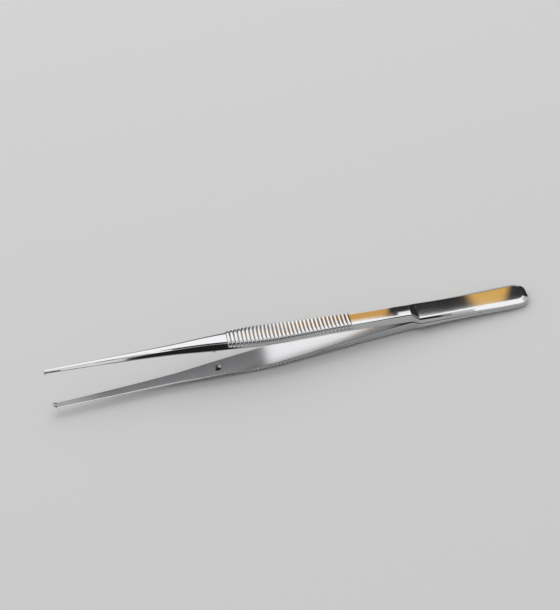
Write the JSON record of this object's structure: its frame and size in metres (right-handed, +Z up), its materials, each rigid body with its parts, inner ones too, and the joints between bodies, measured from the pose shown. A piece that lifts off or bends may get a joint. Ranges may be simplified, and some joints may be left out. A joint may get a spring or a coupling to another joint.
{
  "type": "thumb forceps",
  "caption": "Fine tissue forceps: two sprung steel arms welded at the rear, with ribbed finger grips, tapering shanks, a guide pin and interlocking teeth at the tips.",
  "frame": {"origin": "centre of the instrument's bounding box, on the surface that it lies on", "axes": "+X from the tips to the welded rear end, Y across the width of the arms, +Z up, with the lower arm lying on the surface"},
  "size_m": [0.1546, 0.0104, 0.0177],
  "materials": {
    "forged_steel": "mirror-polished backs and flanks, satin inner faces",
    "pin_steel": "turned and polished"
  },
  "bodies": {
    "root": {"upper_arm": "forged_steel", "lower_arm": "forged_steel", "guide_pin": "pin_steel"}
  },
  "joints": []
}
